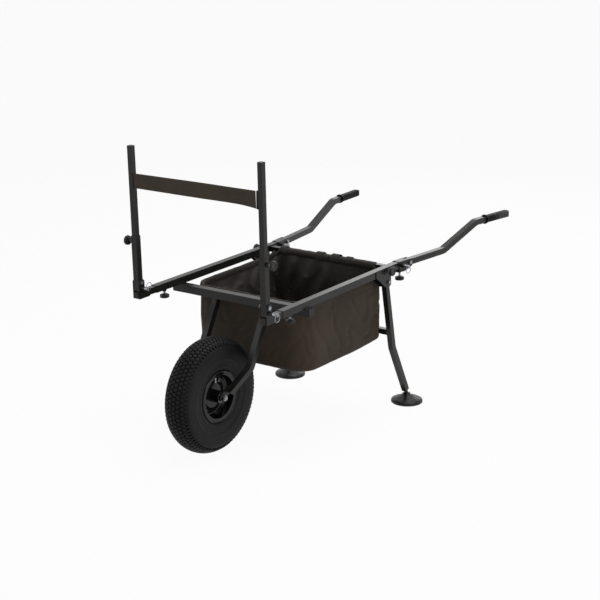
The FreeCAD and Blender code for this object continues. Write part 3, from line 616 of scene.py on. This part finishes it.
def tread_block(name, radius, across, along):
    """One rounded six-sided block, its top at Z = 0 and its root below; corners point across the tyre."""
    block = drawn_out(name, 6, radius, [(0.0058, radius * 0.93), (0.0008, radius * 0.86)], first=-0.0066)
    settle(block, Matrix.Diagonal((across, along, 1, 1)) @ Matrix.Rotation(math.radians(30), 4, "Z"))
    soften(block, 0.0011, segments=1, degrees=45)
    smooth(block, 50)
    return block


def tread():
    """Rows of blocks, every other column half a row on, with a row of small lugs on each shoulder."""
    block = tread_block("tread_block", 0.0083, 1.04, 0.94)
    lug = tread_block("shoulder_lug", 0.0056, 1.25, 0.85)
    pitch = 2 * math.pi / TREAD_ROWS
    places = [(block, along, number % 2) for number, along in enumerate(TREAD_COLUMNS)]
    places += [(lug, -SHOULDER_ROW, 1), (lug, SHOULDER_ROW, 0)]
    blocks = []
    for form, along, offset in places:
        x, radius, tilt = crown_seat(along, 0.0012 if form is lug else 0.0)
        seat = Matrix.Translation((x, 0, radius)) @ Matrix.Rotation(tilt, 4, "Y")
        for row in range(TREAD_ROWS):
            turn = Matrix.Rotation((row + 0.5 * offset) * pitch, 4, "X")
            blocks.append(copied(form, "tread_block_copy", turn @ seat))
    bpy.data.objects.remove(block)
    bpy.data.objects.remove(lug)
    return joined(blocks, "tread")


def build_tyre():
    piece = joined([casing(), tread()], "tyre_moulded")
    settle(piece, Matrix.Translation(WHEEL))
    dress(piece, "tyre_rubber", "wheel", "tyre")


# ---------------------------------------------------------------- grips and feet
GRIP_FLANGE = 0.006
GRIP_HALF = 0.0130                   # half of the grip's width
GRIP_RIB = 0.0135                    # a rib's radius before the grip is made square
GRIP_RIBS = 15
SLOT_HEIGHT = 0.0365                 # middle of the slot in a foot's neck


def middle(points):
    return sum(points, Vector()) / len(points)


def build_grips():
    """Moulded square grips with finger ribs, a round flange and a rounded end."""
    for side in SIDES:
        corners = [v.co for v in frame["nodes"][side + "_grip"].data.vertices]
        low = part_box(side + "_grip")[0]
        far = max(corners, key=lambda c: c.y)
        end = middle([c for c in corners if (c - far).length < 0.040 and abs((c - far).y) < 0.006])
        start = middle([c for c in corners if c.y < low.y + 0.012])
        axis = (end - start).normalized()
        along = [(c - start).dot(axis) for c in corners]
        piece = grip_form(side + "_grip_moulded", max(along) - min(along))
        settle(piece, aim_level(start + axis * min(along), axis))
        dress(piece, "grip_rubber", side + "_handle_arm", side + "_grip")


def aim_level(place, axis):
    """Like aim, with the form's Y axis kept level."""
    side = Vector((0, 0, 1)).cross(axis).normalized()
    up = axis.cross(side).normalized()
    turn = Matrix((side, up, axis)).transposed().to_4x4()
    return Matrix.Translation(place) @ turn


def grip_form(name, length):
    """A grip along Z: drawn round from its flange to its end, then made square behind the flange."""
    steps = [(0.0012, 0.0180), (GRIP_FLANGE - 0.0024, 0.0180), (0.0012, 0.0168), (0.0004, 0.0142)]
    pitch = (length - GRIP_FLANGE - 0.0008) / GRIP_RIBS
    for _ in range(GRIP_RIBS):
        steps += [(pitch * 0.30, GRIP_RIB), (pitch * 0.42, GRIP_RIB), (pitch * 0.28, 0.0126)]
    steps += [(0.0004, 0.0112), (0.0, 0.006)]
    piece = drawn_out(name, 32, 0.0168, steps)
    for vert in piece.data.vertices:
        radius = math.hypot(vert.co.x, vert.co.y)
        if vert.co.z > GRIP_FLANGE + 0.0003 and radius > 1e-6:
            squareness = max(abs(vert.co.x), abs(vert.co.y)) / radius
            vert.co.xy *= min(1 / squareness, 1.22) * (GRIP_HALF / GRIP_RIB)
    soften(piece, 0.0004, segments=1)
    smooth(piece, 45)
    return piece


def build_feet():
    """A wide moulded foot: rolled rim, a cone with a hollow flank, and a slotted neck."""
    for side in SIDES:
        bolt = Vector(joints[side + "_foot_swivel"]["pos_m"])
        slot = (bolt.x, bolt.y, SLOT_HEIGHT)
        dome = drawn_out(side + "_foot_moulded", 48, 0.0505, [
            (0.0002, 0.0555), (0.0026, 0.0587), (0.0062, 0.0589), (0.0038, 0.0568), (0.0038, 0.0490),
            (0.0042, 0.0380), (0.0044, 0.0270), (0.0036, 0.0195), (0.0030, 0.0150), (0.0032, 0.0130),
            (0.0032, 0.0112), (0.0, 0.004)], first=0.0002)
        settle(dome, Matrix.Translation((bolt.x, bolt.y, 0)))
        cutter = begin("slot_cutter", bpy.ops.mesh.primitive_cube_add, size=1, location=slot)
        bpy.ops.transform.resize(value=(0.0068, 0.040, 0.0300), center_override=slot)
        end_edit()
        settle_object(cutter)
        alter(dome, "BOOLEAN", object=cutter, operation="DIFFERENCE", solver="EXACT")
        bpy.data.objects.remove(cutter)
        soften(dome, 0.0006, degrees=50)
        smooth(dome, 40)
        dress(dome, "black_plastic", side + "_foot_pad", side + "_foot")


# ---------------------------------------------------------------- fabric band
BAND_LOW = 0.3568
BAND_HEIGHT = 0.4066 - BAND_LOW
BAND_ENDS = (-0.2605, 0.2490)
BAND_LENGTH = BAND_ENDS[1] - BAND_ENDS[0]
STITCHING_DEPTH = -0.2083            # the band's stitches lie just in front of its face


def shaped_grid(name, columns, rows, shape):
    """A grid on the bench; shape gives each point's place from its shares u and v across the grid."""
    grid = begin(name, bpy.ops.mesh.primitive_grid_add, x_subdivisions=columns, y_subdivisions=rows, size=1)
    end_edit()
    for vert in grid.data.vertices:
        vert.co = BENCH @ Vector(shape(vert.co.x + 0.5, vert.co.y + 0.5))
    return grid


def band_droop(x, v):
    """How far the band's slack lower corner hangs at its right end."""
    return 0.0085 * max(0.0, (x - 0.11) / 0.15) ** 2.6 * (1 - v) ** 1.4


def band_bow(turn, v):
    """The slight bow of the band's edges between the posts."""
    return 0.0016 * math.sin(turn) * (0.5 - v)


def band_cloth():
    """The stretched face of the band, with a slight wave along it."""
    def face(u, v):
        x = BAND_ENDS[0] + u * BAND_LENGTH
        z = BAND_LOW + v * BAND_HEIGHT - band_droop(x, v) - band_bow(math.pi * u, v)
        ripple = 0.0008 * noise.noise(Vector((x * 14, z * 30, 1.3)))
        return x, -0.2070 + ripple + 0.0012 * math.sin(u * 9.0) * (0.5 - v), z

    grid = shaped_grid("front_band_cloth", 96, 12, face)
    lay_out_uv(grid, BAND_LENGTH, BAND_HEIGHT)
    alter(grid, "SOLIDIFY", thickness=0.0016, offset=0.0)
    smooth(grid, 60)
    return grid


def rolled_end():
    """The band's right end, rolled back behind the face, in darker cloth that is painted shade in the fold."""
    def roll(u, v):
        turn = math.radians(330) * u
        x = BAND_ENDS[1] + 0.0045 + (0.0052 - 0.0010 * u) * math.sin(turn) + 0.0010 * v
        y = -0.2030 - (0.0048 - 0.0008 * u) * math.cos(turn)
        return x, y, BAND_LOW + 0.0005 + v * (BAND_HEIGHT - 0.001) - band_droop(x, v) * 1.15

    grid = shaped_grid("front_band_end", 16, 10, roll)
    lay_out_uv(grid, 0.03, 0.05)
    alter(grid, "SOLIDIFY", thickness=0.0014, offset=0.0)
    smooth(grid, 60)
    return grid


def band_stitching():
    """Stitches along the band's long edges and across its left end."""
    lines = []
    for v in (0.07, 0.93):
        xs = [BAND_ENDS[0] + 0.004 + i * 0.005 for i in range(101)]
        lines.append([(x, STITCHING_DEPTH, BAND_LOW + v * BAND_HEIGHT - band_droop(x, v)
                       - band_bow(math.pi * (x - BAND_ENDS[0]) / 0.51, v)) for x in xs])
    lines.append([(BAND_ENDS[0] + 0.016, STITCHING_DEPTH, BAND_LOW + 0.005 + i * 0.008) for i in range(6)])
    rows = [stitch_row("band_stitching_row", [BENCH @ Vector(point) for point in line],
                       length=0.0032, gap=0.0022) for line in lines]
    return joined(rows, "front_band_stitching")


def build_band():
    """A stretched canvas band, rolled back at its right end in darker cloth that paints the fold's shade; its
    lower corner hangs a little.
    """
    cloth, end, stitches = band_cloth(), rolled_end(), band_stitching()
    dress(cloth, "band_fabric", "right_post_slider", "front_band")
    # the rolled end takes the dark binding cloth as painted shade where the band folds back
    dress(end, "binding_and_fold_shade", "right_post_slider", slot="band_fabric")
    dress(stitches, "thread", "right_post_slider", slot="band_fabric")


def lay_out_uv(piece, width, height):
    """Sets a grid's UV map to metres, so that threads come out at their real size."""
    layer = piece.data.uv_layers.active
    for loop in layer.data:
        loop.uv = (loop.uv[0] * width, loop.uv[1] * height)


# ---------------------------------------------------------------- bag
BAG_HALF = 0.2385
BAG_FRONT = 0.0415
BAG_REAR = 0.5160
BAG_MIDDLE = (BAG_FRONT + BAG_REAR) / 2
BAG_HALF_LENGTH = (BAG_REAR - BAG_FRONT) / 2
BAG_TOP = -0.0400
BAG_BOTTOM = -0.2760
FRONT_CORNER = 0.068
REAR_CORNER = 0.024
CROSSBAR_BACK = 0.5220               # middle of the rear crossbar, which runs in the rear hem
CROSSBAR_HEIGHT = -0.0140


def rounded_plan(x, y):
    """Moves a point of the square -1..1 to the bag's plan, with its corners rounded."""
    corner = REAR_CORNER if y > 0 else FRONT_CORNER
    place = Vector((x * BAG_HALF, y * BAG_HALF_LENGTH))
    core = Vector((max(corner - BAG_HALF, min(BAG_HALF - corner, place.x)),
                   max(corner - BAG_HALF_LENGTH, min(BAG_HALF_LENGTH - corner, place.y))))
    out = place - core
    if out.length > 1e-6:
        place = core + out.normalized() * max(abs(out.x), abs(out.y))
    return Vector((place.x, place.y + BAG_MIDDLE, 0))


def drape(x, y, depth):
    """How far the cloth stands out from the plain shape.

    x and y are -1..1 across the bag; depth is 0 at the hem and 1 at the bottom.
    """
    edge = max(abs(x), abs(y))
    belly = 0.0050 * math.sin(math.pi * min(1.0, depth)) * edge ** 4
    swell = noise.noise(Vector((x * 2.1, y * 2.1, depth * 2.4))) * 0.0055
    crease = 1 - abs(noise.noise(Vector((x * 3.6 + depth * 1.9, y * 3.6 - depth * 1.6, 5.1 + depth))))
    crease = max(0.0, crease - 0.86) / 0.14
    tuck = noise.noise(Vector((x * 9, y * 9, depth * 2.0 + 9.0))) * 0.0022 * (1 - depth)
    inwards = 0.0
    if y > 0.5 or x < -0.5:
        # slack cloth falls inwards from the rear hem in long slanting folds
        run = (x * BAG_HALF if y > 0.5 else -BAG_HALF - (1 - y) * 0.2) + 0.10 * depth
        wave = math.sin(run * 2 * math.pi / 0.082 + 2.2 * noise.noise(Vector((x, y, depth * 1.5))))
        share = math.sin(math.pi * min(1.0, depth * 1.25 + 0.06)) if depth < 0.75 else 0.0
        nearness = max(0.0, 1 - (Vector((x, y)) - Vector((-0.75, 0.9))).length / 1.3)
        inwards = (0.014 + 0.016 * wave) * max(0.0, share) * nearness
    calm = min(1.0, depth * 6) * min(1.0, 0.25 + (1 - depth) * 5)
    return (belly + swell - crease * 0.0048 + tuck) * edge ** 3 * calm - inwards * edge ** 3


def bag_cloth():
    """An open bag lofted from a box: rounded in plan, soft along its bottom, slack in the floor."""
    piece = begin("under_bag_cloth", bpy.ops.mesh.primitive_cube_add, size=2)
    choose_faces(lambda face: face.normal.z > 0.9)
    bpy.ops.mesh.delete(type="FACE")
    bpy.ops.mesh.select_all(action="SELECT")
    bpy.ops.mesh.subdivide(number_cuts=49)
    end_edit()
    centre = Vector((0, BAG_MIDDLE, 0))
    for vert in piece.data.vertices:
        x, y = vert.co.x, vert.co.y
        depth = (1 - vert.co.z) / 2
        edge = max(abs(x), abs(y))
        place = rounded_plan(x, y)
        out = (rounded_plan(x * 1.001, y * 1.001) - place) if edge > 0.01 else Vector()
        out = (place - centre) * 0.4 + out.normalized() * 0.2 if out.length else Vector()
        out = out.normalized() if out.length else Vector()
        low = max(0.0, (depth - 0.93) / 0.07)
        place -= out * 0.007 * low ** 3 * edge ** 8
        place += out * drape(x, y, depth)
        height = BAG_TOP + (BAG_BOTTOM - BAG_TOP) * depth
        slack = (1 - edge ** 3) if depth > 0.999 else 0.0
        height -= 0.005 * slack + 0.002 * depth ** 3 * (0.5 + noise.noise(Vector((x * 1.3, y * 1.3, 2.2))))
        height -= 0.006 * depth ** 2 * (1 - abs(y) ** 2)
        if y > 0.55:
            climb = ((y - 0.55) / 0.45) ** 2 * max(0.0, 1 - depth * 5)
            height += (CROSSBAR_HEIGHT - 0.004 - BAG_TOP) * climb
        vert.co = (place.x, place.y, height)
    settle(piece, BENCH)
    map_cloth(piece)
    return piece


def map_cloth(piece):
    """A UV map in metres, laid on each side of a piece in turn."""
    pick(piece)
    if not piece.data.uv_layers:
        piece.data.uv_layers.new(name="UVMap")
    open_edit()
    bpy.ops.uv.cube_project(cube_size=1.0, scale_to_bounds=False, correct_aspect=False)
    end_edit()


HEM_STATIONS = 260
HEM_RING = 12


def hem_station(turn):
    """Where the hem's middle is, its half width and its half height; turn runs round the mouth."""
    angle = 2 * math.pi * turn
    x, y = math.cos(angle), math.sin(angle)
    scale = 1 / max(abs(x), abs(y))
    x, y = x * scale, y * scale
    place = rounded_plan(x * 0.984, y * 0.984)
    rear = max(0.0, min(1.0, (y - 0.86) / 0.14)) if abs(x) < 0.999 or y > 0.86 else 0.0
    rear *= max(0.0, min(1.0, (0.99 - abs(x)) / 0.10)) if y > 0.99 else 0.55
    rear = rear * rear * (3 - 2 * rear)
    place.z = BAG_TOP + 0.0010
    place.y += rear * (CROSSBAR_BACK - BAG_REAR * 0.996)
    place.z += rear * (CROSSBAR_HEIGHT - BAG_TOP)
    wander = noise.noise(Vector((x * 3.3, y * 3.3, 7.7)))
    place.z += 0.0016 * wander * (1 - rear)
    return place, 0.0068 + rear * 0.0080, 0.0125 + rear * 0.0015


def outwards(before, after):
    """The level direction out of the bag, square to the hem between two of its points."""
    ahead = after - before
    return Vector((ahead.y, -ahead.x, 0)).normalized()


def rolled_hem():
    """The thick rolled hem, in rings of points; at the rear it is a sleeve round the crossbar."""
    stations = [hem_station(i / HEM_STATIONS) for i in range(HEM_STATIONS)]
    mesh = bmesh.new()
    rings = []
    for number, (place, wide, high) in enumerate(stations):
        out = outwards(stations[number - 1][0], stations[(number + 1) % HEM_STATIONS][0])
        ring = []
        for step in range(HEM_RING):
            turn = 2 * math.pi * step / HEM_RING
            pucker = 1 + 0.09 * noise.noise(Vector((number * 0.55, math.cos(turn), math.sin(turn) * 2)))
            squash = abs(math.cos(turn)) ** 0.7 * math.copysign(1, math.cos(turn))
            rise = abs(math.sin(turn)) ** 0.8 * math.copysign(1, math.sin(turn))
            point = place + out * wide * squash * pucker + Vector((0, 0, high * rise * pucker))
            ring.append(mesh.verts.new(point))
        rings.append(ring)
    for number, ring in enumerate(rings):
        following = rings[(number + 1) % HEM_STATIONS]
        for step in range(HEM_RING):
            after = (step + 1) % HEM_RING
            mesh.faces.new((ring[step], following[step], following[after], ring[after]))
    bmesh.ops.recalc_face_normals(mesh, faces=mesh.faces)
    data = bpy.data.meshes.new("under_bag_hem")
    mesh.to_mesh(data)
    mesh.free()
    piece = bpy.data.objects.new("under_bag_hem", data)
    bpy.context.scene.collection.objects.link(piece)
    settle(piece, BENCH)
    map_cloth(piece)
    smooth(piece, 60)
    return piece


def webbing_strip(name, rows, shape):
    """A strip of webbing with its edges softened, shaped as a grid is."""
    strip = shaped_grid(name, 4, rows, shape)
    map_cloth(strip)
    alter(strip, "SOLIDIFY", thickness=0.0018, offset=0.0)
    soften(strip, 0.0005, segments=1, degrees=60)
    return strip


def loop_of_webbing(x, width, proud):
    """A short webbing loop stitched over the rear hem."""
    def loop(across, along):
        turn = math.pi * (1.22 * along - 0.11)
        reach = 0.0162 + proud * math.sin(math.pi * along) ** 4
        slant = 0.0012 * math.sin(5 * along + x * 90)
        return (x + (across - 0.5) * width + slant, CROSSBAR_BACK - reach * math.cos(turn),
                CROSSBAR_HEIGHT - 0.001 + reach * math.sin(turn))

    strip = webbing_strip("hem_loop", 18, loop)
    smooth(strip, 50)
    return strip


def hanging_tab():
    """A webbing end that hangs below the front crossbar."""
    def tab(across, along):
        return (0.048 + (across - 0.5) * 0.018 + 0.002 * along, 0.0335 + 0.004 * along ** 2,
                -0.080 + 0.045 * along)

    return webbing_strip("crossbar_tab", 8, tab)


def stitch_row(name, points, length=0.0045, gap=0.0030):
    """A row of small thread stitches along points on the cloth."""
    tip, belly = 0.00035, 0.00055
    steps = [(0.0004, belly), (length - 0.0008, belly), (0.0004, tip)]
    stitch = drawn_out("stitch", 6, tip, steps)
    copies = []
    carried = 0.0
    for here, there in zip(points, points[1:]):
        span = (there - here).length
        if span < 1e-6:
            continue
        way = (there - here) / span
        while carried < span:
            copies.append(copied(stitch, "stitch_copy", aim(here + way * carried, way)))
            carried += length + gap
        carried -= span
    bpy.data.objects.remove(stitch)
    return joined(copies, name)


def hem_stitching():
    """The line of stitches that closes the hem, on its outside."""
    points = []
    for i in range(HEM_STATIONS + 1):
        before, here, after = (hem_station((i + step) / HEM_STATIONS % 1.0) for step in (-1, 0, 1))
        place, wide, high = here
        out = outwards(before[0], after[0])
        points.append(BENCH @ (place + out * wide * 0.86 + Vector((0, 0, -high * 0.55))))
    return stitch_row("under_bag_stitching", points)


def build_bag():
    """The open canvas bag with its lining, hem, stitches, webbing loops and hanging tab."""
    cloth = bag_cloth()
    cloth.data.materials.append(FINISHES["bag_fabric"])
    cloth.data.materials.append(FINISHES["bag_lining"])
    alter(cloth, "SOLIDIFY", thickness=0.0022, offset=-1.0, material_offset=1)
    alter(cloth, "SUBSURF", levels=1, render_levels=1)
    smooth(cloth, 60)
    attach(cloth, "frame")
    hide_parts("under_bag")
    hem = rolled_hem()
    dress(hem, "binding_and_fold_shade", "frame", slot="bag_fabric")
    stitches = hem_stitching()
    dress(stitches, "thread", "frame", slot="bag_fabric")
    loops = [loop_of_webbing(-0.028, 0.030, 0.004), loop_of_webbing(0.042, 0.034, 0.005),
             loop_of_webbing(0.100, 0.022, 0.003), loop_of_webbing(-0.190, 0.026, 0.003), hanging_tab()]
    for loop in loops:
        dress(loop, "webbing", "frame", slot="bag_fabric")


# ---------------------------------------------------------------- the barrow
stand_camera()
light_the_room()
lay_floor()
FINISHES = make_finishes()
finish_cad_nodes(FINISHES)
fit_knobs()
lay_welds()
build_tyre()
build_grips()
build_feet()
build_band()
build_bag()

scene = bpy.context.scene
scene.view_settings.view_transform = "Standard"
bpy.context.view_layer.update()
